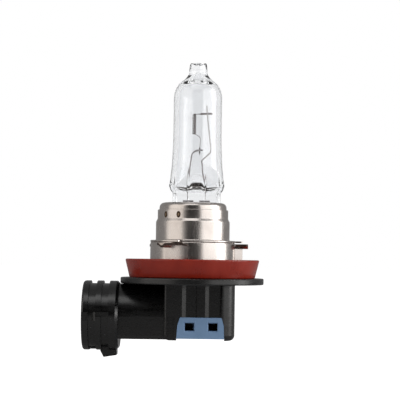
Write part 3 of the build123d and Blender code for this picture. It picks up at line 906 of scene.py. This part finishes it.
def pressed_sheet(name, direction, width, reach, mid_height, thickness, columns=48, rows=6):
    """A lug of sheet metal: a piece of a flat ring.
    Its middle height is a function of the angle from its centre."""
    bm = bmesh.new()
    layers = []
    for side in (0.5, -0.5):
        grid = []
        for i in range(columns + 1):
            a = -width / 2 + width * i / columns
            line = []
            for k in range(rows + 1):
                r = reach[0] + (reach[1] - reach[0]) * k / rows
                trim = 0.35 * max(0, abs(a) / (width / 2) - 0.86) / 0.14 * (k / rows) ** 4
                angle = math.radians(direction + a)
                x = (r - trim) * math.cos(angle)
                y = (r - trim) * math.sin(angle)
                line.append(bm.verts.new((x, y, mid_height(a) + side * thickness)))
            grid.append(line)
        layers.append(grid)
    top, bottom = layers
    for grid in layers:
        for i in range(columns):
            for k in range(rows):
                bm.faces.new((grid[i][k], grid[i + 1][k], grid[i + 1][k + 1], grid[i][k + 1]))
    for i in range(columns):
        for k in (0, rows):
            bm.faces.new((top[i][k], top[i + 1][k], bottom[i + 1][k], bottom[i][k]))
    for k in range(rows):
        for i in (0, columns):
            bm.faces.new((top[i][k], top[i][k + 1], bottom[i][k + 1], bottom[i][k]))
    return to_mesh(name, bm)


def plate(name, direction, width, reach, low, high):
    middle = (low + high) / 2
    return pressed_sheet(name, direction, width, reach, lambda a: middle, high - low, columns=12, rows=3)


def lug_height(a):
    """The lug's middle surface: flat, with a bead pressed down near one end.
    The other end dips a little as a lead-in."""
    bead = math.cos(min(abs(a - BEAD_OFFSET) / 4.6, 1.0) * math.pi / 2) ** 2
    return 0.8 - 0.55 * bead - 0.2 * ease(11, 17, a)


def make_ring():
    wall, bore = 0.4, 8.1
    top, bottom = ring_high.z, ring_low.z
    outline = [(RING_R, bottom), (RING_R, top, 0.3), (bore, top, 0.1), (bore, top - wall, 0.1),
               (RING_R - wall, top - wall, 0.12), (RING_R - wall, bottom)]
    ring = lathe("bayonet_ring_skin", outline)
    reach = (RING_R - 0.2, LUG_R)
    parts = [pressed_sheet("lug", d, LUG_WIDTH, reach, lug_height, 0.5) for d in LUG_DIRECTIONS]
    parts.append(make_stop_tab(math.radians(LUG_DIRECTIONS[1])))
    # The lugs' edges take the dark cut-edge finish, which is partly painted shade.
    return with_cut_edges(combined(ring, parts, "UNION"), 10.0, -0.2)


def make_stop_tab(turn):
    """The tab that stops the bayonet's turn: it hangs down beside a lug, a little twisted."""
    bm = bmesh.new()
    bmesh.ops.create_cube(bm, size=1.0)
    bmesh.ops.scale(bm, vec=(1.9, 0.4, 3.55), verts=bm.verts)
    twist = Matrix.Rotation(math.radians(16), 3, "Z")
    bmesh.ops.rotate(bm, cent=(-0.9, 0, 0), matrix=twist, verts=bm.verts)
    bmesh.ops.translate(bm, vec=(10.3, -1.4, -1.125), verts=bm.verts)
    bmesh.ops.rotate(bm, cent=(0, 0, 0), matrix=Matrix.Rotation(turn, 3, "Z"), verts=bm.verts)
    return to_mesh("stop_tab", bm)


def with_cut_edges(piece, from_radius, above, only_ends=False):
    """The second material, dark cut steel that is also painted shade, goes on the upright faces further out
    and higher than this, in millimetres.
    only_ends leaves out the faces that look straight outwards."""
    for face in piece.data.polygons:
        outwards = Vector((face.center.x, face.center.y, 0))
        lowest = min(piece.data.vertices[i].co.z for i in face.vertices)
        marked = outwards.length > from_radius * MM and lowest > above * MM and abs(face.normal.z) < 0.6
        if only_ends and abs(face.normal.dot(outwards.normalized())) > 0.5:
            marked = False
        face.material_index = int(marked)
    return piece


# ---- the seal ----

def make_seal():
    top, bottom = seal_high.z, seal_low.z
    inner, outer_bottom = 11.42, 14.09
    outer_top = (seal_high.x - seal_low.x) / 2 + 0.04
    outline = [(inner, bottom + 0.01, 0.15), (outer_bottom, bottom + 0.01, 0.35), (outer_top, top, 0.28),
               (14.25, top, 0.2), (13.5, top - 1.0, 0.3), (12.7, top - 1.0, 0.3), (12.25, top - 0.1, 0.25),
               (inner, top - 0.3, 0.2)]
    return lathe("seal_skin", outline, segments=192)


# ---- build ----

make_camera()
make_world()
make_floor()
make_dark_card()
soft_box("left_box", -60, 12, 0.8, 0.85, 1.1, 0.85, (1.0, 0.94, 0.88))
soft_box("right_box", 52, 10, 0.8, 0.75, 1.1, 1.3, (1.0, 0.985, 0.97))
soft_box("right_strip", 88, 6, 0.8, 0.34, 1.1, 3.4, (1.0, 0.985, 0.98))
soft_box("top_box", -10, 60, 0.9, 0.6, 0.35, 1.3)
bpy.context.scene.view_settings.view_transform = "Standard"

glass = quartz_glass()
nickel = satin_nickel()
tungsten = drawn_wire("drawn_tungsten", (0.09, 0.07, 0.062), (0.2, 0.16, 0.145), 0.5)
molybdenum = drawn_wire("drawn_molybdenum", (0.22, 0.2, 0.2), (0.38, 0.36, 0.36), 0.35)
cut_edge_shade = cut_edge_painted_shade()
weld = burnt_weld()
silicone = red_silicone()
black = moulded_plastic("black_moulding", (0.0015, 0.0015, 0.0017), (0.003, 0.003, 0.0035), 0.26, 3e-6, 0.75)
blue = moulded_plastic("blue_moulding", (0.22, 0.365, 0.59), (0.25, 0.4, 0.635), 0.45, 6e-6)
tin = tinned_brass()
compound = moulded_plastic("sealing_compound", (0.02, 0.02, 0.02), (0.03, 0.03, 0.03), 0.6, 0.00001)

wound = wound_wire_tree()
finish_piece(make_envelope(), glass, "quartz", "quartz_bulb")
finish_piece(make_filament(wound, tungsten), tungsten, "tungsten", "filament")
upper_winding, lower_winding = make_leg_windings(wound, tungsten)
finish_piece(upper_winding, tungsten, "tungsten", "upper_leg_sleeve")
finish_piece(lower_winding, tungsten, "tungsten", "lower_leg_sleeve")
finish_piece(make_long_wire(), molybdenum, "molybdenum", "long_support_wire")
finish_piece(make_short_wire(), molybdenum, "molybdenum", "short_support_wire")
finish_piece(make_cup(), nickel, "nickel_steel", "burner_cup")
finish_piece(make_sleeve(), nickel, "nickel_steel", "cap_sleeve", second=cut_edge_shade)
finish_piece(make_ring(), nickel, "nickel_steel", "bayonet_ring", second=cut_edge_shade)
spots = run_tree("weld_beads", weld_spot_tree(), {
    "Pairs": 2,
    "Sleeve Radius": SLEEVE_UPPER_R * MM,
    "Height": (weld_low.z + weld_high.z) / 2 * MM,
    "First Angle": math.radians(-139),
    "Pair Angle": math.radians(25.6),
    "Spot Size": (0.05 * MM, 0.5 * MM, 0.75 * MM),
    "Material": weld,
})
finish_piece(spots, weld, "weld", "weld_spots")
finish_piece(make_seal(), silicone, "red_silicone", "seal_ring")

CARRIED_OVER = {
    "base_housing": black,
    "terminal_cover": blue,
    "terminal_front": tin,
    "terminal_rear": tin,
    "lead_seals": compound,
    "pinch_clip": nickel,
    "foil_front": molybdenum,
    "foil_rear": molybdenum,
    "lead_front": molybdenum,
    "lead_rear": molybdenum,
}
for node, material in CARRIED_OVER.items():
    for material_slot in frame["nodes"][node].material_slots:
        material_slot.material = material
